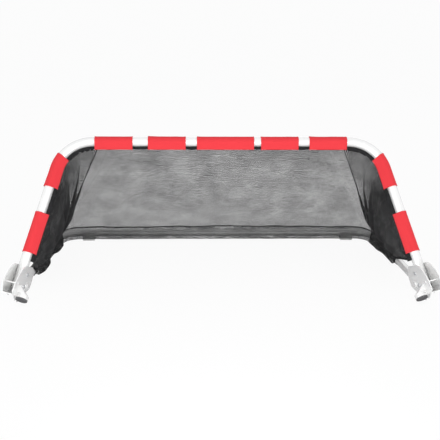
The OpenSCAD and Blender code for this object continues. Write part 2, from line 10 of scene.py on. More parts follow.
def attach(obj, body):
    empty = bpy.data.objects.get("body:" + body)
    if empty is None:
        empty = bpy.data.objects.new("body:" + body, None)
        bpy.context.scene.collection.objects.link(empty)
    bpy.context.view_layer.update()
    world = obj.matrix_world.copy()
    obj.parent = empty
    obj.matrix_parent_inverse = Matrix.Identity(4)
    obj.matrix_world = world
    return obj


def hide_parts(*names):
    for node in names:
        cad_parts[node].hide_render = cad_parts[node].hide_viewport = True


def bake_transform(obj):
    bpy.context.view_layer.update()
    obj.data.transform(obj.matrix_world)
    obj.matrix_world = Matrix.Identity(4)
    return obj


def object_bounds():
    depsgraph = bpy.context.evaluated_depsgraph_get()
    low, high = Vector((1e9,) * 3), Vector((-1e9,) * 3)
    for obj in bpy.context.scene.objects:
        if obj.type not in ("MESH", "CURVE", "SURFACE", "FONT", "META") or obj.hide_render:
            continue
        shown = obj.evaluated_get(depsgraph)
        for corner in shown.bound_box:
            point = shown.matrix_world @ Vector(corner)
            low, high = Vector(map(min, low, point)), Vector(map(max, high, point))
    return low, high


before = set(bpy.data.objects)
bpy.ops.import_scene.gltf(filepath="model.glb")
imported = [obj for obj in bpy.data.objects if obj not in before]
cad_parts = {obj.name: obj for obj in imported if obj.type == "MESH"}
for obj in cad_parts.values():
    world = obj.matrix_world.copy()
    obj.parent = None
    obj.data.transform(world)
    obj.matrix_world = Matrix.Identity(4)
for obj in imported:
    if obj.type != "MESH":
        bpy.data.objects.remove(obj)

bl_info = {
    "name": "Folding hockey goal",
    "version": (1, 0, 0),
    "blender": (4, 5, 0),
    "location": "View3D > Sidebar > Goal",
    "description": "Builds the fabric, net and finishes of a folding hockey goal on its frame",
    "category": "Add Mesh",
}

CAD_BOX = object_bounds()
MM = 0.001
UP = np.array((0.0, 0.0, 1.0))

# Driving sizes, in metres and radians, as in the part's source.
LEAN = math.radians(34)
SPLAY = math.radians(14.5)
HALF_WIDTH = 652 * MM
RISE = 530 * MM
BEND_R = 123 * MM
TUBE_R = 16 * MM
BASE_DEPTH = 595 * MM
REAR_HALF = 590 * MM
BASE_BEND_R = 80 * MM
BASE_R = 12.5 * MM
PIVOT_BACK = 40 * MM
PIVOT_UP = 58 * MM
REAR_FOOT_W = 38 * MM
HEM_R = 4.5 * MM
SEAT = 0.3 * MM

# Worked out from them: the hem's distance from the tube's axis, the origin's distance behind the line
# of the feet, and the right pivot, measured from the middle of that line.
HEM_OFF = TUBE_R + SEAT + HEM_R
MID_Y = BASE_DEPTH + REAR_FOOT_W / 2 - CAD_BOX[1][1]
PIVOT_V = PIVOT_UP * math.cos(SPLAY)
PIVOT = (
    HALF_WIDTH - PIVOT_UP * math.sin(SPLAY),
    PIVOT_BACK * math.cos(LEAN) + PIVOT_V * math.sin(LEAN),
    PIVOT_V * math.cos(LEAN) - PIVOT_BACK * math.sin(LEAN),
)


class Bend:
    """A U-shaped tube: half width at its start, splay of a side, length and bend radius."""

    def __init__(self, half_width, splay, length, radius):
        self.splay, self.length, self.radius = splay, length, radius
        self.turn = math.pi / 2 - splay
        cut = radius * math.tan(self.turn / 2)
        self.bar = half_width - length * math.tan(splay) - cut
        self.arc = radius * self.turn
        self.total = self.bar + self.arc + length / math.cos(splay) - cut

    def at(self, d):
        """Axis point and inward direction at d along the tube from the middle of its bar."""
        sign, k = (-1 if d < 0 else 1), abs(d)
        if k < self.bar:
            x, y, a = k, self.length, 0.0
        elif k < self.bar + self.arc:
            a = (k - self.bar) / self.radius
            x = self.bar + self.radius * math.sin(a)
            y = self.length - self.radius + self.radius * math.cos(a)
        else:
            a, rest = self.turn, k - self.bar - self.arc
            x = self.bar + self.radius * math.sin(a) + rest * math.sin(self.splay)
            y = self.length - self.radius + self.radius * math.cos(a) - rest * math.cos(self.splay)
        return sign * x, y, -sign * math.sin(a), -math.cos(a)


FRONT = Bend(HALF_WIDTH, SPLAY, RISE, BEND_R)
BASE_LEN = BASE_DEPTH - PIVOT[1]
BASE = Bend(PIVOT[0], math.atan((PIVOT[0] - REAR_HALF) / BASE_LEN), BASE_LEN, BASE_BEND_R)


def front_point(d, inward=0.0, behind=0.0):
    """A point beside the front tube's axis, in the goal's frame."""
    x, up, nx, ny = FRONT.at(d)
    x, up = x + nx * inward, up + ny * inward
    return np.array((x, behind * math.cos(LEAN) + up * math.sin(LEAN) - MID_Y,
                     up * math.cos(LEAN) - behind * math.sin(LEAN)))


def base_point(d, inward=0.0, above=0.0):
    """A point beside the base tube's axis, in the goal's frame."""
    x, back, nx, ny = BASE.at(d)
    return np.array((x + nx * inward, back + ny * inward + PIVOT[1] - MID_Y, PIVOT[2] + above))


def base_inward(d):
    """The level direction inwards from the base tube."""
    return base_point(d, 1.0) - base_point(d)


def smooth(a, b, x):
    """0 before a and 1 past b, with a smooth change between."""
    t = min(max((x - a) / (b - a), 0.0), 1.0)
    return t * t * (3 - 2 * t)


def unit(v):
    """The direction of v, as a vector of length 1."""
    return v / np.linalg.norm(v)


def rough(x, y=0.0, z=0.0, octaves=2):
    """Smooth noise from about -1 to 1 at a place, the same at every run."""
    return noise.fractal(Vector((x, y, z)), 1.0, 2.0, octaves)


def ring_round(middle, side, up, radius):
    """Eight points of a circle round the middle, in the plane of two directions."""
    return [middle + (side * math.cos(a) + up * math.sin(a)) * radius
            for a in np.linspace(0, 2 * math.pi, 8, endpoint=False)]


# Materials -------------------------------------------------------------------------------------

class Finish:
    """A material made of nodes, with short calls to add and join them."""

    def __init__(self, name, roughness, **sockets):
        self.material = bpy.data.materials.new(name)
        self.material.use_nodes = True
        self.tree = self.material.node_tree
        self.shader = self.tree.nodes["Principled BSDF"]
        self.shader.inputs["Roughness"].default_value = roughness
        for key, value in sockets.items():
            self.shader.inputs[key.replace("_", " ")].default_value = value

    def add(self, kind, *values, **settings):
        """A new node, with a number, a colour or another node's socket for each of its first inputs."""
        node = self.tree.nodes.new("ShaderNode" + kind)
        for key, value in settings.items():
            setattr(node, key, value)
        for i, value in enumerate(values):
            if isinstance(value, bpy.types.NodeSocket):
                self.tree.links.new(value, node.inputs[i])
            elif value is not None:
                node.inputs[i].default_value = value
        return node

    def place(self):
        """The place on the piece, in metres."""
        return self.add("TexCoord").outputs["Object"]

    def length_and_round(self):
        """Distance along the cloth and across it, in metres."""
        split = self.add("SeparateXYZ", self.add("UVMap", uv_map="cloth").outputs[0])
        return split.outputs[0], split.outputs[1]

    def math(self, operation, *values):
        return self.add("Math", *values, operation=operation).outputs[0]

    def noise(self, scale, detail=2.0, where=None):
        """Noise from 0 to 1 with about scale bumps to the metre."""
        node = self.add("TexNoise", where if where is not None else self.place())
        node.inputs["Scale"].default_value = scale
        node.inputs["Detail"].default_value = detail
        return node.outputs["Fac"]

    def spread(self, value, low, high, to_low=0.0, to_high=1.0):
        """The value's range from low to high, spread over another range and held at its ends."""
        return self.add("MapRange", value, low, high, to_low, to_high).outputs[0]

    def blend(self, factor, a, b):
        """Colour a where the factor is 0 and b where it is 1."""
        node = self.add("Mix", data_type="RGBA")
        for socket, value in ((node.inputs["Factor"], factor), (node.inputs[6], a), (node.inputs[7], b)):
            if isinstance(value, bpy.types.NodeSocket):
                self.tree.links.new(value, socket)
            else:
                socket.default_value = value
        return node.outputs[2]

    def join(self, key, value):
        """Feeds a socket of the shader."""
        self.tree.links.new(value, self.shader.inputs[key])

    def bump(self, height, depth, under=None):
        """Relief of that depth in metres, over another relief if there is one."""
        node = self.add("Bump")
        node.inputs["Strength"].default_value = 1.0
        node.inputs["Distance"].default_value = depth
        self.tree.links.new(height, node.inputs["Height"])
        if under is not None:
            self.tree.links.new(under, node.inputs["Normal"])
        return node.outputs["Normal"]


def colour(rgb, level=1.0):
    """A colour at a share of its own brightness, with its alpha."""
    return (*(c * level for c in rgb), 1.0)


def white_enamel(rgb):
    """Powder coat: fine orange peel, faint mottling and scuffs, with dust low down."""
    m = Finish("white_enamel", 0.34, Coat_Weight=0.25, Coat_Roughness=0.18)
    tone = m.spread(m.noise(14, 3), 0.35, 0.7)
    body = m.blend(tone, colour(rgb, 0.965), colour(rgb))
    scuffs = m.math("MULTIPLY", m.spread(m.noise(95, 6), 0.66, 0.72), m.spread(m.noise(9, 1), 0.5, 0.6))
    worn = m.blend(m.math("MULTIPLY", scuffs, 0.35), body, colour((0.55, 0.54, 0.52)))
    height = m.add("SeparateXYZ", m.place()).outputs[2]
    dust = m.math("MULTIPLY", m.spread(height, 0.07, 0.0), m.spread(m.noise(60, 4), 0.3, 0.8, 0.05, 0.2))
    m.join("Base Color", m.blend(dust, worn, colour((0.62, 0.6, 0.56))))
    m.join("Roughness", m.spread(m.noise(40, 3), 0.3, 0.7, 0.27, 0.42))
    peel = m.bump(m.noise(1100, 1), 0.00003)
    m.join("Normal", m.bump(m.noise(130, 2), 0.00012, peel))
    return m.material


def weave_height(m, along, across, pitch):
    """Plain weave: threads that pass over and under each other, pitch metres apart."""
    u, v = (m.math("MULTIPLY", x, math.pi / pitch) for x in (along, across))
    over = m.math("MULTIPLY", m.math("SINE", u), m.math("SINE", v))
    thread = m.math("MAXIMUM", m.math("ABSOLUTE", m.math("COSINE", u)),
                    m.math("ABSOLUTE", m.math("COSINE", v)))
    return m.math("ADD", m.math("MULTIPLY", over, 0.35), thread)


def stitches(m, along, across, rows, step, width):
    """1 on the threads of lockstitch rows; each row is a distance from the cloth's edge."""
    edge = m.add("Attribute", attribute_name="edge").outputs["Fac"]
    mask = None
    for row in rows:
        near = m.spread(m.math("ABSOLUTE", m.math("SUBTRACT", edge, row)), width, width * 0.6)
        mask = near if mask is None else m.math("MAXIMUM", mask, near)
    run = m.math("PINGPONG", m.math("ADD", along, across), step / 2)
    return m.math("MULTIPLY", mask, m.spread(run, step * 0.1, step * 0.16))


def wrap_fabric(rgb):
    """Coated nylon of the wraps: fine plain weave, wrinkles with painted shade in their low places, a sewn
    edge and a soft sheen.
    """
    m = Finish("wrap_fabric", 0.55, Sheen_Weight=0.06, Sheen_Roughness=0.4, Coat_Weight=0.08,
               Coat_Roughness=0.45)
    along, across = m.length_and_round()
    weave = weave_height(m, along, across, 0.9 * MM)
    tone = m.spread(m.noise(26, 4), 0.3, 0.72)
    cloth = m.blend(tone, colour(rgb, 0.8), colour(rgb, 1.06))
    lit_yarn = colour((rgb[0] * 1.1, rgb[1] + 0.05, rgb[2] + 0.05))
    cloth = m.blend(m.spread(weave, 0.5, 1.3, 0.0, 0.22), cloth, lit_yarn)
    thread = stitches(m, along, across, (3.0 * MM, 5.6 * MM), 3.4 * MM, 0.55 * MM)
    wrinkles = m.noise(34, 5)
    # Painted shade: the cloth darkens towards 0.55 of its colour in the wrinkles' low places.
    painted_hollow_shade = m.math("MULTIPLY", m.spread(wrinkles, 0.5, 0.36), 0.3)
    cloth = m.blend(painted_hollow_shade, cloth, colour(rgb, 0.55))
    dark_thread = colour((rgb[0] * 0.6, rgb[1] * 0.5, rgb[2] * 0.5))
    m.join("Base Color", m.blend(thread, cloth, dark_thread))
    m.join("Roughness", m.spread(m.noise(70, 3), 0.3, 0.7, 0.46, 0.64))
    woven = m.bump(weave, 0.00006)
    puckers = m.bump(m.noise(220, 3), 0.0008, woven)
    m.join("Normal", m.bump(thread, 0.0003, m.bump(wrinkles, 0.004, puckers)))
    return m.material


def binding_fabric(rgb):
    """Black polyester tape: ribs across it, a faint lighter nap and two sewn rows."""
    m = Finish("binding_fabric", 0.85, Sheen_Weight=0.08, Sheen_Roughness=0.5, Specular_IOR_Level=0.3)
    along, across = m.length_and_round()
    rib = m.math("ABSOLUTE", m.math("SINE", m.math("MULTIPLY", along, math.pi / (1.1 * MM))))
    weave = m.math("ADD", rib, m.math("MULTIPLY", weave_height(m, along, across, 0.7 * MM), 0.4))
    tone = m.spread(m.noise(55, 4), 0.3, 0.75)
    cloth = m.blend(tone, colour(rgb, 0.6), colour(rgb, 1.7))
    thread = stitches(m, along, across, (2.0 * MM,), 3.0 * MM, 0.5 * MM)
    m.join("Base Color", m.blend(thread, cloth, colour(rgb, 3.2)))
    m.join("Roughness", m.spread(m.noise(90, 3), 0.3, 0.7, 0.7, 0.9))
    m.join("Normal", m.bump(thread, 0.0003, m.bump(weave, 0.00012)))
    return m.material


def mesh_fabric(name, rgb, cell, cover, gathered=None):
    """Knitted mesh: crossed yarns round open holes, a little closer near the top of the goal. cover is
    the yarns' share of it at the start of the cloth, and gathered the share where it is bunched up."""
    m = Finish(name, 0.62, Sheen_Weight=0.04, Sheen_Roughness=0.45, Specular_IOR_Level=0.25)
    along, across = m.length_and_round()
    stretched = m.add("CombineXYZ", m.math("MULTIPLY", along, 0.3), across).outputs[0]
    pulls = (m.math("MULTIPLY", m.math("SUBTRACT", m.noise(24, 2), 0.5), 3 * MM),
             m.math("MULTIPLY", m.math("SUBTRACT", m.noise(30, 3, stretched), 0.5), 14 * MM))
    lines = [m.math("PINGPONG", m.math("DIVIDE", m.math("ADD", line, pull), size), 0.5)
             for line, pull, size in zip((along, across), pulls, (cell * 0.6, cell))]
    nearest = m.math("MINIMUM", *lines)
    half, tight = ((1 - math.sqrt(1 - share)) / 2 for share in (cover, gathered or cover))
    thick = m.spread(m.noise(13, 5), 0.3, 0.7, half * 0.86, half * 1.12)
    height = m.add("SeparateXYZ", m.place()).outputs[2]
    thick = m.math("ADD", thick, m.spread(height, 0.32, 0.42, 0.0, 0.035))
    if gathered:
        thick = m.math("ADD", thick, m.spread(along, 40 * MM, 170 * MM, 0.0, tight - half))
    m.join("Alpha", m.spread(m.math("SUBTRACT", nearest, thick), 0.02, -0.02))
    tone = m.spread(m.noise(30, 4), 0.25, 0.75)
    ply = m.math("ABSOLUTE", m.math("SINE", m.math("MULTIPLY", m.math("ADD", along, across), 2400)))
    yarn = m.blend(tone, colour(rgb, 0.7), colour(rgb, 1.45))
    m.join("Base Color", m.blend(m.math("MULTIPLY", ply, 0.3), yarn, colour(rgb, 2.2)))
    m.join("Roughness", m.spread(m.noise(60, 2), 0.3, 0.7, 0.52, 0.72))
    m.join("Normal", m.bump(m.math("SUBTRACT", thick, nearest), 0.0008))
    return m.material


def rubber(name, rgb):
    """Moulded rubber: a matt, faintly mottled face with paler rubbed places."""
    m = Finish(name, 0.8)
    tone = m.spread(m.noise(48, 5), 0.3, 0.75)
    grey = m.blend(tone, colour(rgb, 0.75), colour(rgb, 1.3))
    rubbed = m.math("MULTIPLY", m.spread(m.noise(160, 5), 0.6, 0.7), 0.4)
    m.join("Base Color", m.blend(rubbed, grey, colour(rgb, 2.4)))
    m.join("Roughness", m.spread(m.noise(85, 3), 0.3, 0.7, 0.68, 0.92))
    m.join("Normal", m.bump(m.noise(900, 2), 0.00012))
    return m.material


def moulded_plastic(name, rgb, roughness):
    """Injection moulding: a fine spark-eroded grain with smoother rubbed places."""
    m = Finish(name, roughness)
    tone = m.spread(m.noise(60, 3), 0.3, 0.7)
    m.join("Base Color", m.blend(tone, colour(rgb, 0.85), colour(rgb, 1.25)))
    m.join("Roughness", m.spread(m.noise(75, 4), 0.35, 0.65, roughness - 0.1, roughness + 0.08))
    m.join("Normal", m.bump(m.noise(1600, 2), 0.00006))
    return m.material


def zinc_steel(rgb):
    """Zinc plating: bright grey metal with cloudy spots."""
    m = Finish("zinc_steel", 0.34, Metallic=1.0)
    tone = m.spread(m.noise(120, 4), 0.3, 0.7)
    m.join("Base Color", m.blend(tone, colour(rgb, 0.8), colour(rgb, 1.1)))
    m.join("Roughness", m.spread(m.noise(200, 5), 0.3, 0.7, 0.24, 0.46))
    m.join("Normal", m.bump(m.noise(700, 3), 0.00004))
    return m.material


# Cloth in mesh code ------------------------------------------------------------------------------

def cloth(name, points, finish, thick=0.0, ring=False):
    """A piece of cloth from rows of points along it; ring joins each row to itself and caps the ends."""
    points = np.asarray(points, float)
    rows, cols = points.shape[:2]
    around = np.concatenate([points, points[:, :1]], axis=1) if ring else points
    row_gaps = np.linalg.norm(np.diff(points, axis=0), axis=2).mean(axis=1)
    col_gaps = np.linalg.norm(np.diff(around, axis=1), axis=2).mean(axis=0)
    along, across = (np.concatenate([[0.0], np.cumsum(gaps)]) for gaps in (row_gaps, col_gaps))
    faces, places, edge = [], [], []
    for i in range(rows - 1):
        for j in range(len(across) - 1):
            k = (j + 1) % cols
            faces.append((i * cols + j, i * cols + k, (i + 1) * cols + k, (i + 1) * cols + j))
            places += [(along[i], across[j]), (along[i], across[j + 1]),
                       (along[i + 1], across[j + 1]), (along[i + 1], across[j])]
    if ring:
        faces += [tuple(range(cols - 1, -1, -1)), tuple(range((rows - 1) * cols, rows * cols))]
        places += [(0.0, 0.0)] * (2 * cols)
    for i in range(rows):
        end = min(along[i], along[-1] - along[i])
        edge += [end if ring else min(end, across[j], across[-1] - across[j]) for j in range(cols)]
    mesh = bpy.data.meshes.new(name)
    mesh.from_pydata(points.reshape(-1, 3).tolist(), [], faces)
    mesh.uv_layers.new(name="cloth").data.foreach_set("uv", np.array(places, np.float32).ravel())
    mesh.attributes.new("edge", "FLOAT", "POINT").data.foreach_set("value", np.array(edge, np.float32))
    mesh.polygons.foreach_set("use_smooth", [True] * len(faces))
    mesh.materials.append(bpy.data.materials[finish])
    mesh.update()
    piece = bpy.data.objects.new(name, mesh)
    bpy.context.scene.collection.objects.link(piece)
    if thick:
        solid = piece.modifiers.new("Thickness", "SOLIDIFY")
        solid.thickness, solid.offset = thick, 0.0
    return piece


def cut_size(piece):
    """Width and length that the cloth is cut to, and its area, from its own rows and columns."""
    uv = np.zeros(len(piece.data.loops) * 2, np.float32)
    piece.data.uv_layers["cloth"].data.foreach_get("uv", uv)
    width, length = sorted(float(x) for x in uv.reshape(-1, 2).max(axis=0))
    area = sum(p.area for p in piece.data.polygons)
    return (width, length), min(area, width * length)


def declare(piece):
    """Works out the piece's flat size and area; nothing is done with them."""
    flat, area = cut_size(piece)


class Outline:
    """The outline drawn tightly round some circles, read by distance along it."""

    def __init__(self, rounds):
        angle = np.linspace(0, 2 * math.pi, 541)
        out = np.stack([np.cos(angle), np.sin(angle)], axis=1)
        reach = np.array([out @ np.array(r[:2]) + r[2] for r in rounds])
        best = reach.argmax(axis=0)
        self.points = np.array([np.array(rounds[b][:2]) + rounds[b][2] * n for b, n in zip(best, out)])
        self.out = out
        steps = np.linalg.norm(np.diff(self.points, axis=0), axis=1)
        self.distance = np.concatenate([[0.0], np.cumsum(steps)])
        self.length = self.distance[-1]

    def at(self, s):
        """Point and outward direction at s along the outline."""
        s = s % self.length
        point, out = (np.array([np.interp(s, self.distance, values[:, i]) for i in (0, 1)])
                      for values in (self.points, self.out))
        return point, unit(out)


# The wraps' places along the front tube.
WRAP_INSET = 5 * MM         # from the ends of the bar's straight part
GAP_LEFT = 50 * MM          # between the two wraps on the left of the bar
GAP_RIGHT = 36 * MM         # and on its right
CENTRE_AT = 14 * MM         # the middle wrap's place across the bar
CENTRE_HALF = 94 * MM       # and half its length
UPPER_ABOVE = 46 * MM       # reach of the upper leg wraps round the bend
UPPER_BELOW = 68 * MM       # and down the leg
LOWER_AT = 160 * MM         # distance up the leg to the lower leg wraps
LOWER_TOP = 295 * MM        # and to their upper ends
WRAP_LAP = 15 * MM          # a wrap's own overlap, down its back


def wrap_places(sizes):
    """Name, start and end of each wrap, from the middle of the front tube's bar."""
    left, right = -FRONT.bar + WRAP_INSET, FRONT.bar - WRAP_INSET
    short = sizes.wrap_length
    bend, foot = FRONT.bar + FRONT.arc, FRONT.total
    places = [
        ("top_wrap_far_left", left, left + short),
        ("top_wrap_left", left + short + GAP_LEFT, left + 2 * short + GAP_LEFT),
        ("top_wrap_centre", CENTRE_AT - CENTRE_HALF, CENTRE_AT + CENTRE_HALF),
        ("top_wrap_right", right - 2 * short - GAP_RIGHT, right - short - GAP_RIGHT),
        ("top_wrap_far_right", right - short, right),
    ]
    for side, s in (("left", -1), ("right", 1)):
        places.append((side + "_wrap_upper", s * (bend - UPPER_ABOVE), s * (bend + UPPER_BELOW)))
        places.append((side + "_wrap_lower", s * (foot - LOWER_TOP), s * (foot - LOWER_AT)))
    return [(name, min(a, b), max(a, b)) for name, a, b in places]


def bare(d, places):
    """1 where the tube is bare at d and 0 under a wrap, with a short change between."""
    return min(max(smooth(-2 * MM, 10 * MM, a - d), smooth(-2 * MM, 10 * MM, d - b)) for _, a, b in places)


def hem_swell(d, places):
    """How far the hem bulges inwards where no wrap holds it, most round the bends."""
    bend = smooth(FRONT.bar - 60 * MM, FRONT.bar + 30 * MM, abs(d))
    loose = 1.2 * MM + bend * 4.4 * MM
    return bare(d, places) * loose * (1.0 + rough(d * 38, 3.1) + 0.7 * rough(d * 95, 8.7))


# Places along the tubes, from the middle of their bars: the hem's end on a leg, the corner seam on the
# hem and on the base tube, and the casing's end at the left (-1) and the right (1).
HEM_END = FRONT.total - 136 * MM
SEAM_A = FRONT.bar - 15 * MM
SEAM_B = BASE.bar + 0.9 * BASE.arc
BASE_END = {-1: BASE.total - 150 * MM, 1: BASE.total - 245 * MM}

# The lobes of slack cloth that hang from a side casing: distance from the pivot, width and depth.
LOBES = {
    -1: ((408 * MM, 48 * MM, 13 * MM), (218 * MM, 62 * MM, 14 * MM)),
    1: ((432 * MM, 66 * MM, 12 * MM),),
}
LOBE_DROP = 16 * MM         # how far below the tube's axis the lobes hang
STITCH_R = 1.7 * MM         # radius of the casings' rows of stitching
TAPE_W = 14 * MM            # width of the corner tapes
LOOP_HALF = 12 * MM         # half the width of the loops round the base tube
TAPE_T = 1.2 * MM           # thickness of tapes and loops


def partner(b):
    """The place on the hem from which the net runs to the place b on the base tube."""
    s, k = (-1 if b < 0 else 1), abs(b)
    if k <= SEAM_B:
        return s * k / SEAM_B * SEAM_A
    return s * (SEAM_A + (HEM_END - SEAM_A) * (k - SEAM_B) / (BASE_END[s] - SEAM_B))


def net_direction(b):
    """The direction in which the net leaves the place b on the base tube."""
    return unit(front_point(partner(b), HEM_OFF) - base_point(b))


def stitch_height(b):
    """Distance from the base tube's axis to the row of stitching that closes the casing."""
    side = smooth(SEAM_B - 70 * MM, SEAM_B + 70 * MM, abs(b))
    return (47 - 17 * side) * MM + 7 * MM * rough(b * 9, 5.3, 0, 3)


def bag(b):
    """How far the casing hangs inside its tube: in lobes along the sides, little along the rear bar."""
    end, rear = BASE.total - abs(b), 1 - smooth(SEAM_B - 30 * MM, SEAM_B + 50 * MM, abs(b))
    hang = 2.5 * MM + rear * (5 * MM + 2 * MM * rough(b * 11, 4.2))
    for at, width, depth in LOBES[-1 if b < 0 else 1]:
        hang += depth * math.exp(-((end - at) / width) ** 4) * (1 + 0.12 * rough(b * 30, 1.7))
    return hang


def net_start(a, b, places):
    """Where the net leaves the hem."""
    p = front_point(a, HEM_OFF + hem_swell(a, places) * 0.6)
    return p + unit(base_point(b) - p) * 3 * MM


def stitching_middle(b):
    """The middle of the row of stitching that closes the casing."""
    return base_point(b) + net_direction(b) * stitch_height(b) + base_inward(b) * bag(b) * 0.6


def net_stop(b):
    """Where the net goes into its casing, a little below the stitching."""
    return stitching_middle(b) - net_direction(b) * 7 * MM


def blend_net(piece):
    """Bakes the net piece's placement into its mesh."""
    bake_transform(piece)


# Properties ----------------------------------------------------------------------------------------

class GoalSizes(bpy.types.PropertyGroup):
    """Sizes of the cloth pieces."""
    wrap_length: FloatProperty(name="Wrap length", description="Length of the short wraps on the top bar",
                               default=0.124, min=0.08, max=0.13, unit="LENGTH", subtype="DISTANCE")
    wrap_thickness: FloatProperty(name="Wrap thickness", description="Thickness of the wraps' cloth",
                                  default=0.0011, min=0.0006, max=0.002, unit="LENGTH", subtype="DISTANCE")
    wrap_crease: FloatProperty(name="Wrap creases", description="Height of the creases in the wraps",
                               default=0.0018, min=0.0, max=0.003, unit="LENGTH", subtype="DISTANCE")
    net_sag: FloatProperty(name="Net sag", description="Sag of the back net below a straight line",
                           default=0.03, min=0.0, max=0.05, unit="LENGTH", subtype="DISTANCE")
    net_fold: FloatProperty(name="Net folds", description="Depth of the folds in the net",
                            default=0.010, min=0.0, max=0.02, unit="LENGTH", subtype="DISTANCE")
    mesh_cell: FloatProperty(name="Mesh cell", description="Distance between the yarns of the mesh",
                             default=0.0046, min=0.002, max=0.01, unit="LENGTH", subtype="DISTANCE")


class GoalColours(bpy.types.PropertyGroup):
    """Colours of the finishes."""
    enamel: FloatVectorProperty(name="Enamel", description="Powder coat on tubes and brackets",
                                default=(0.86, 0.855, 0.84), min=0, max=1, subtype="COLOR")
    wraps: FloatVectorProperty(name="Wraps", description="Cloth of the wraps",
                               default=(0.92, 0.036, 0.01), min=0, max=1, subtype="COLOR")
    binding: FloatVectorProperty(name="Binding", description="Tape of the hem and straps",
                                 default=(0.008, 0.008, 0.009), min=0, max=1, subtype="COLOR")
    mesh: FloatVectorProperty(name="Mesh", description="Yarn of the net",
                              default=(0.018, 0.018, 0.019), min=0, max=1, subtype="COLOR")
    rubber: FloatVectorProperty(name="Rubber", description="Foot caps of the legs",
                                default=(0.09, 0.09, 0.095), min=0, max=1, subtype="COLOR")
    rear_feet: FloatVectorProperty(name="Rear feet", description="Rubber feet under the rear bar",
                                   default=(0.62, 0.62, 0.61), min=0, max=1, subtype="COLOR")
    knobs: FloatVectorProperty(name="Knobs", description="Clamping knobs", default=(0.018, 0.018, 0.02),
                               min=0, max=1, subtype="COLOR")
    eyes: FloatVectorProperty(name="Eyes", description="Nylon eyes of the base tube",
                              default=(0.055, 0.055, 0.06), min=0, max=1, subtype="COLOR")
    zinc: FloatVectorProperty(name="Zinc", description="Plated bolts, nuts and studs",
                              default=(0.62, 0.63, 0.65), min=0, max=1, subtype="COLOR")


def paint(names, finish):
    for name in names:
        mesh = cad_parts[name].data
        mesh.materials.clear()
        mesh.materials.append(bpy.data.materials[finish])


# Operators -----------------------------------------------------------------------------------------

class GOAL_OT_finishes(bpy.types.Operator):
    """Make the finishes of the tubes, cloth, net, rubber, plastic and plated steel"""
    bl_idname = "goal.finishes"
    bl_label = "Finishes"

    def execute(self, context):
        c, s = context.scene.goal_colours, context.scene.goal_sizes
        white_enamel(c.enamel)
        wrap_fabric(c.wraps)
        binding_fabric(c.binding)
        mesh_fabric("back_mesh", c.mesh, s.mesh_cell, 0.72)
        # The side panels and side casings use the same yarn darkened to 0.6 of its colour: painted shade on
        # the sides.
        mesh_fabric("side_mesh", tuple(x * 0.6 for x in c.mesh), s.mesh_cell, 0.82, 0.992)
        mesh_fabric("casing_mesh", c.mesh, s.mesh_cell, 0.6)
        mesh_fabric("side_casing_mesh", tuple(x * 0.6 for x in c.mesh), s.mesh_cell, 0.92)
        rubber("foot_rubber", c.rubber)
        rubber("rear_foot_rubber", c.rear_feet)
        moulded_plastic("knob_plastic", c.knobs, 0.5)
        moulded_plastic("eye_nylon", c.eyes, 0.42)
        zinc_steel(c.zinc)
        return {"FINISHED"}


class GOAL_OT_frame(bpy.types.Operator):
    """Enamel the tubes and corner brackets"""
    bl_idname = "goal.frame"
    bl_label = "Tubes and brackets"

    def execute(self, context):
        paint(["front_frame_tube", "left_base_tube", "right_base_tube", "rear_bar", "cheek_rivets",
               "left_corner_bracket", "right_corner_bracket"], "white_enamel")
        return {"FINISHED"}


class GOAL_OT_fittings(bpy.types.Operator):
    """Finish the bolts, nuts, studs, knobs, eyes and rubber feet"""
    bl_idname = "goal.fittings"
    bl_label = "Fittings and feet"

    def execute(self, context):
        for side in ("left_", "right_"):
            paint([side + "leg_bolts", side + "leg_nuts", side + "knob_stud"], "zinc_steel")
            paint([side + "foot_cap"], "foot_rubber")
            paint([side + "rear_foot"], "rear_foot_rubber")
            paint([side + "knob"], "knob_plastic")
            paint([side + "base_eye"], "eye_nylon")
        paint(["eye_rivets"], "zinc_steel")
        return {"FINISHED"}


class GOAL_OT_wraps(bpy.types.Operator):
    """Sew the nine wraps round the front tube and the net's hem, each lapped down its back"""
    bl_idname = "goal.wraps"
    bl_label = "Wraps"

    def execute(self, context):
        s = context.scene.goal_sizes
        thick = s.wrap_thickness
        section = Outline([(0.0, 0.0, TUBE_R + SEAT), (0.0, -HEM_OFF, HEM_R + SEAT)])
        whole = section.length + WRAP_LAP
        for number, (name, start, end) in enumerate(wrap_places(s)):
            rows, cols = int((end - start) / (2.5 * MM)), 96
            points = []
            for i in range(rows + 1):
                d = start + (end - start) * i / rows
                flare = 0.5 * MM * (1 - smooth(0, 9 * MM, min(d - start, end - d)))
                ring = []
                for j in range(cols + 1):
                    q = whole * j / cols
                    point, out = section.at(q - WRAP_LAP)
                    crease = 0.5 + 0.5 * rough(d * 22 + number * 7, q * 34, number, 3)
                    long_fold = smooth(0.25, 0.8, rough(d * 9 + number * 3.3, q * 60, number + 5.5, 2))
                    off = thick / 2 + s.wrap_crease * (0.45 * crease + 0.55 * long_fold) + flare
                    off += (thick + 0.2 * MM) * smooth(section.length - 5 * MM, section.length - 0.5 * MM, q)
                    x, y = point + out * off
                    ring.append(front_point(d, -y, x))
                points.append(ring)
            piece = cloth(name + "_cloth", points, "wrap_fabric", thick)
            declare(piece)
            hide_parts(name)
            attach(piece, "front_frame")
        return {"FINISHED"}


class GOAL_OT_hem(bpy.types.Operator):
    """Roll the net's hem along the inside of the front tube"""
    bl_idname = "goal.hem"
    bl_label = "Hem"

    def execute(self, context):
        places = wrap_places(context.scene.goal_sizes)
        rows, cols = 640, 16
        points = []
        for i in range(rows + 1):
            d = HEM_END * (2 * i / rows - 1)
            swell = hem_swell(d, places)
            radius = HEM_R * (1.0 + 0.06 * rough(d * 60, 4.4) * bare(d, places))
            ring = []
            for j in range(cols):
                a = 2 * math.pi * j / cols
                inward = math.cos(a) * radius + max(math.cos(a), 0.0) * swell
                ring.append(front_point(d, HEM_OFF + inward, -math.sin(a) * radius))
            points.append(ring)
        piece = cloth("net_hem_roll", points, "binding_fabric", ring=True)
        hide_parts("net_hem")
        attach(piece, "front_frame")
        return {"FINISHED"}


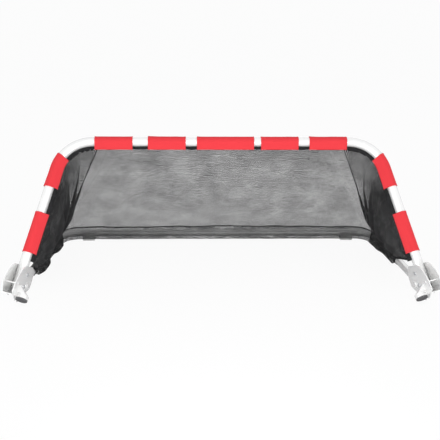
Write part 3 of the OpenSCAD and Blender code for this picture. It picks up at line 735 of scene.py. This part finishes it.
# Folds of the back net: place on the hem and on the base as shares of the way to the seams, depth as a
# share of net_fold (below 0 it runs inwards), and width.
BACK_FOLDS = (
    (-0.985, -0.998, 1.0, 0.010),
    (-0.90, -0.985, -0.9, 0.014),
    (-0.80, -0.93, 0.45, 0.03),
    (-0.52, -0.66, 0.35, 0.05),
    (-0.2, -0.1, -0.3, 0.06),
    (0.25, 0.1, 0.3, 0.06),
    (0.55, 0.5, -0.3, 0.05),
    (0.80, 0.93, 0.45, 0.03),
    (0.88, 0.985, -0.9, 0.013),
    (0.985, 0.998, 1.0, 0.010),
)
BACK_OUT = unit(np.array((0.0, RISE * math.cos(LEAN), BASE_DEPTH - RISE * math.sin(LEAN))))
PLEATS = 5.5                # pleats along each side panel
PANEL_CLEAR = 14 * MM       # how far inwards the side panels hang, clear of the wraps when folded
SEAM_ROLL_R = 1.6 * MM      # radius of the rolled corner seams
BACK_ROWS, SIDE_ROWS, NET_COLS, SEAM_ROWS = 200, 110, 46, 60


def back_net_point(sizes, places, k, w):
    """A point of the back panel, k from seam to seam (-1 to 1) and w from hem to casing (0 to 1)."""
    a, b = k * SEAM_A, k * SEAM_B
    p = net_start(a, b, places) * (1 - w) + net_stop(b) * w
    hump, free = max(math.sin(math.pi * w), 0.0), 1 - abs(k) ** 6
    move = -sizes.net_sag * hump * free
    for at_hem, at_base, depth, width in BACK_FOLDS:
        away = (k - at_hem - (at_base - at_hem) * w) / width
        move += sizes.net_fold * depth * math.exp(-away * away) * hump ** 0.6 * (1 - abs(k) ** 40)
    move += 4 * MM * hump * free * rough(k * 5, w * 1.7, 2.2, 3)
    return p + BACK_OUT * move


def side_net_point(sizes, places, sign, t, w):
    """A point of a side panel, t from the corner seam to the leg and w from hem to casing (0 to 1)."""
    a = sign * (SEAM_A + (HEM_END - SEAM_A) * t)
    b = sign * (SEAM_B + (BASE_END[sign] - SEAM_B) * t)
    p = net_start(a, b, places) * (1 - w) + net_stop(b) * w
    hump, free = max(math.sin(math.pi * w), 0.0), max(math.sin(math.pi * t), 0.0)
    pleat = math.sin(2 * math.pi * (PLEATS * t + 0.25 * rough(w * 2, t * 3, sign)))
    pleat = math.copysign(abs(pleat) ** 0.6, pleat)
    clear = smooth(0, 0.12, w) * (1 - smooth(0.8, 1, w)) * min(free * 4, 1.0)
    inwards = sizes.net_sag * hump * free * 0.8 + PANEL_CLEAR * clear
    inwards += 1.4 * sizes.net_fold * pleat * (0.35 + 0.65 * w) * hump ** 0.5 * min(free * 2.5, 1.0)
    inwards += 3 * MM * hump * rough(t * 7, w * 3, 9.1 + sign, 3) * free
    return p - np.array((sign * inwards, 0.0, 0.0))


class GOAL_OT_net(bpy.types.Operator):
    """Hang the three panels of the mesh net, sagging and folded, with a taped seam at each rear corner"""
    bl_idname = "goal.net"
    bl_label = "Net"

    def execute(self, context):
        sizes = context.scene.goal_sizes
        places = wrap_places(sizes)
        points = [[back_net_point(sizes, places, -1 + 2 * i / BACK_ROWS, j / NET_COLS)
                   for j in range(NET_COLS + 1)] for i in range(BACK_ROWS + 1)]
        piece = cloth("net_back_panel", points, "back_mesh")
        declare(piece)
        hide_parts("net_back")
        blend_net(piece)
        for name, sign in (("left", -1), ("right", 1)):
            points = [[side_net_point(sizes, places, sign, i / SIDE_ROWS, j / NET_COLS)
                       for j in range(NET_COLS + 1)] for i in range(SIDE_ROWS + 1)]
            piece = cloth("net_" + name + "_panel", points, "side_mesh")
            declare(piece)
            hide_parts("net_" + name)
            blend_net(piece)
            roll = []
            for j in range(SEAM_ROWS + 1):
                w = j / SEAM_ROWS
                p = back_net_point(sizes, places, sign, w)
                ahead = back_net_point(sizes, places, sign, w + 0.01)
                roll.append(ring_round(p, unit(np.cross(ahead - p, BACK_OUT)), BACK_OUT, SEAM_ROLL_R))
            piece = cloth("net_" + name + "_seam", roll, "binding_fabric", ring=True)
            blend_net(piece)
        return {"FINISHED"}


def casing_section(b, count):
    """Points round the casing at b on the base tube: round the tube, up to the stitching, and slack."""
    axis, inward, direction = base_point(b), base_inward(b), net_direction(b)
    along = np.cross(UP, inward)
    lean, rise, run = direction @ inward, direction @ UP, direction @ along
    height, hang = stitch_height(b), bag(b)
    slack = 1.0 * MM + 0.8 * MM * (1 + rough(b * 24, 6.6))
    rounds = [(0.0, 0.0, BASE_R + slack), (lean * height + hang * 0.6, rise * height, 1.0 * MM)]
    if hang > 2 * MM:
        rounds.append((BASE_R + hang - 2 * MM, -LOBE_DROP, 3 * MM))
    outline = Outline(rounds)
    ring = []
    for j in range(count):
        (x, y), _ = outline.at(outline.length * j / count)
        share = max(0.0, y / max(rise * height, 1e-6))
        ring.append(axis + inward * x + UP * y + along * run * height * min(share, 1.0))
    return ring


class GOAL_OT_casings(bpy.types.Operator):
    """Sew the loose casings that hold the net to the base tube, with their rows of stitching"""
    bl_idname = "goal.casings"
    bl_label = "Casings"

    def execute(self, context):
        gap = 1 * MM
        for name, start, end, steps, tube, finish in (
                ("rear", -SEAM_B + gap, SEAM_B - gap, 260, "rear_bar", "casing_mesh"),
                ("left", -BASE_END[-1], -SEAM_B - gap, 110, "left_base_tube", "side_casing_mesh"),
                ("right", SEAM_B + gap, BASE_END[1], 110, "right_base_tube", "side_casing_mesh")):
            stations = [start + (end - start) * i / steps for i in range(steps + 1)]
            # The sleeve opens at its ends, so it is cut from a strip that is sewn to itself.
            rings = [casing_section(b, 44) for b in stations]
            piece = cloth(name + "_casing_cloth", [r + r[:1] for r in rings], finish)
            declare(piece)
            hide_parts(name + "_casing")
            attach(piece, "base_frame")
            row = [ring_round(stitching_middle(b), base_inward(b), UP, STITCH_R) for b in stations]
            piece = cloth(name + "_casing_stitching", row, "binding_fabric", ring=True)
            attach(piece, "base_frame")
        return {"FINISHED"}


class GOAL_OT_straps(bpy.types.Operator):
    """Tie the lower ends of the hem to the base tube with a tape and a loop at each side"""
    bl_idname = "goal.straps"
    bl_label = "Corner straps"

    def execute(self, context):
        for name, sign in (("left", -1), ("right", 1)):
            top = front_point(sign * (HEM_END - 6 * MM), HEM_OFF)
            middle, out = BASE_END[sign] + 14 * MM, BASE_R + 1.4 * MM
            foot = base_point(sign * middle, out * 0.7, out * 0.7 + 1.6 * MM)
            wide = unit(np.cross(foot - top, (0.0, 1.0, 0.0)))
            slack = np.array((-sign * 7 * MM, 0.0, -3 * MM))
            points = []
            for w in np.linspace(0, 1, 25):
                p = top * (1 - w) + foot * w + slack * math.sin(math.pi * w)
                points.append([p + wide * x * TAPE_W for x in (-0.5, -0.25, 0, 0.25, 0.5)])
            piece = cloth(name + "_corner_tape", points, "binding_fabric", TAPE_T)
            declare(piece)
            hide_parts(name + "_corner_strap")
            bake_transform(piece)
            loop = [[base_point(sign * (middle + x), out * math.cos(a), out * math.sin(a))
                     for a in np.linspace(0, 2 * math.pi, 41)] for x in np.linspace(-LOOP_HALF, LOOP_HALF, 7)]
            piece = cloth(name + "_strap_loop", loop, "binding_fabric", TAPE_T)
            declare(piece)
            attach(piece, "base_frame")
        return {"FINISHED"}


FLOOR_HALF = 40.0           # half the floor's width
FLOOR_Z = -0.6 * MM         # just under the feet
FLOOR_GLOW = 0.93           # share of plain white that the camera sees in the floor
SKY_STRENGTH = 0.62         # soft light of the room on the goal
AIM = (0.0, 0.0, 0.2)       # where all lamps point
# Name, place, size and power in watts of each soft lamp.
LAMPS = (
    ("key", (-0.6, -2.6, 2.0), 1.5, 4.5),
    ("right", (1.3, -1.7, 0.45), 1.4, 11),
    ("left", (-1.3, -1.7, 0.45), 1.4, 11),
    ("back", (0.4, 2.2, 2.4), 2.4, 5),
    ("centre", (0.0, -1.1, 0.3), 0.8, 3),
)
# Place, focal length in mm and angles of the camera.
CAMERA_AT = (-0.0822, -2.5645, 0.9924)
CAMERA_LENS = 65.45
CAMERA_TURN = math.radians(-1.776)
CAMERA_TILT = math.radians(72.394)
CAMERA_ROLL = math.radians(0.45)


def node_maker(tree):
    """Makes a node in the tree and joins or sets its inputs, given by their names or numbers."""
    def make(kind, inputs, **settings):
        node = tree.nodes.new("ShaderNode" + kind)
        for key, value in settings.items():
            setattr(node, key, value)
        for key, value in inputs.items():
            if isinstance(value, bpy.types.NodeSocket):
                tree.links.new(value, node.inputs[key])
            else:
                node.inputs[key].default_value = value
        return node
    return make


def pale_floor():
    """A floor that takes the goal's shadow and that the camera sees as nearly white."""
    material = bpy.data.materials.new("pale_floor")
    material.use_nodes = True
    tree = material.node_tree
    make = node_maker(tree)
    shade = tree.nodes["Principled BSDF"]
    shade.inputs["Base Color"].default_value = (0.9, 0.9, 0.9, 1)
    shade.inputs["Roughness"].default_value = 0.9
    seen = make("LightPath", {}).outputs["Is Camera Ray"]
    share = make("Math", {0: seen, 1: FLOOR_GLOW}, operation="MULTIPLY").outputs[0]
    glow = make("Emission", {}).outputs[0]
    mixed = make("MixShader", {0: share, 1: shade.outputs[0], 2: glow}).outputs[0]
    tree.links.new(mixed, tree.nodes["Material Output"].inputs["Surface"])
    return material


def studio_world(world):
    """Soft light from all round, with a white background for the camera and for reflections."""
    world.use_nodes = True
    tree = world.node_tree
    tree.nodes.clear()
    make = node_maker(tree)
    rays = make("LightPath", {}).outputs
    seen = make("Math", {0: rays["Is Camera Ray"], 1: rays["Is Glossy Ray"]}, operation="MAXIMUM").outputs[0]
    soft = make("Background", {"Color": (0.97, 0.98, 1, 1), "Strength": SKY_STRENGTH}).outputs[0]
    white = make("Background", {"Color": (1, 1, 1, 1), "Strength": 1.0}).outputs[0]
    mixed = make("MixShader", {0: seen, 1: soft, 2: white}).outputs[0]
    make("OutputWorld", {"Surface": mixed})


class GOAL_OT_stage(bpy.types.Operator):
    """Set the floor, the soft lamps and the camera"""
    bl_idname = "goal.stage"
    bl_label = "Floor, lights and camera"

    def execute(self, context):
        scene = context.scene
        mesh = bpy.data.meshes.new("floor")
        corners = [(x * FLOOR_HALF, y * FLOOR_HALF, FLOOR_Z) for x, y in ((-1, -1), (1, -1), (1, 1), (-1, 1))]
        mesh.from_pydata(corners, [], [(0, 1, 2, 3)])
        mesh.materials.append(pale_floor())
        floor = bpy.data.objects.new("floor", mesh)
        scene.collection.objects.link(floor)

        scene.world = scene.world or bpy.data.worlds.new("studio")
        studio_world(scene.world)

        for name, place, size, power in LAMPS:
            lamp = bpy.data.lights.new(name, "AREA")
            lamp.energy, lamp.size = power, size
            item = bpy.data.objects.new(name, lamp)
            item.location = place
            item.rotation_euler = (Vector(AIM) - Vector(place)).to_track_quat("-Z", "Y").to_euler()
            item.visible_camera = False
            scene.collection.objects.link(item)

        view = bpy.data.cameras.new("front view")
        view.lens, view.sensor_width = CAMERA_LENS, 36.0
        camera = bpy.data.objects.new("front view", view)
        camera.location = CAMERA_AT
        turn = Matrix.Rotation(CAMERA_TURN, 3, "Z") @ Matrix.Rotation(CAMERA_TILT, 3, "X")
        camera.rotation_euler = (turn @ Matrix.Rotation(CAMERA_ROLL, 3, "Z")).to_euler()
        scene.collection.objects.link(camera)
        scene.camera = camera
        scene.view_settings.view_transform = "Standard"
        return {"FINISHED"}


class GOAL_PT_panel(bpy.types.Panel):
    """The goal's pieces and sizes"""
    bl_idname = "GOAL_PT_panel"
    bl_label = "Folding goal"
    bl_space_type = "VIEW_3D"
    bl_region_type = "UI"
    bl_category = "Goal"

    def draw(self, context):
        layout = self.layout
        for group in (context.scene.goal_sizes, context.scene.goal_colours):
            column = layout.column()
            for key in group.__annotations__:
                column.prop(group, key)
        for step in STEPS:
            layout.operator(step.bl_idname)


STEPS = (GOAL_OT_finishes, GOAL_OT_frame, GOAL_OT_fittings, GOAL_OT_hem, GOAL_OT_wraps, GOAL_OT_net,
         GOAL_OT_casings, GOAL_OT_straps, GOAL_OT_stage)
CLASSES = (GoalSizes, GoalColours, *STEPS, GOAL_PT_panel)


def register():
    for item in CLASSES:
        bpy.utils.register_class(item)
    bpy.types.Scene.goal_sizes = PointerProperty(type=GoalSizes)
    bpy.types.Scene.goal_colours = PointerProperty(type=GoalColours)


def unregister():
    del bpy.types.Scene.goal_colours
    del bpy.types.Scene.goal_sizes
    for item in reversed(CLASSES):
        bpy.utils.unregister_class(item)


def main():
    register()
    for step in STEPS:
        family, name = step.bl_idname.split(".")
        getattr(getattr(bpy.ops, family), name)()


if __name__ == "__main__":
    main()
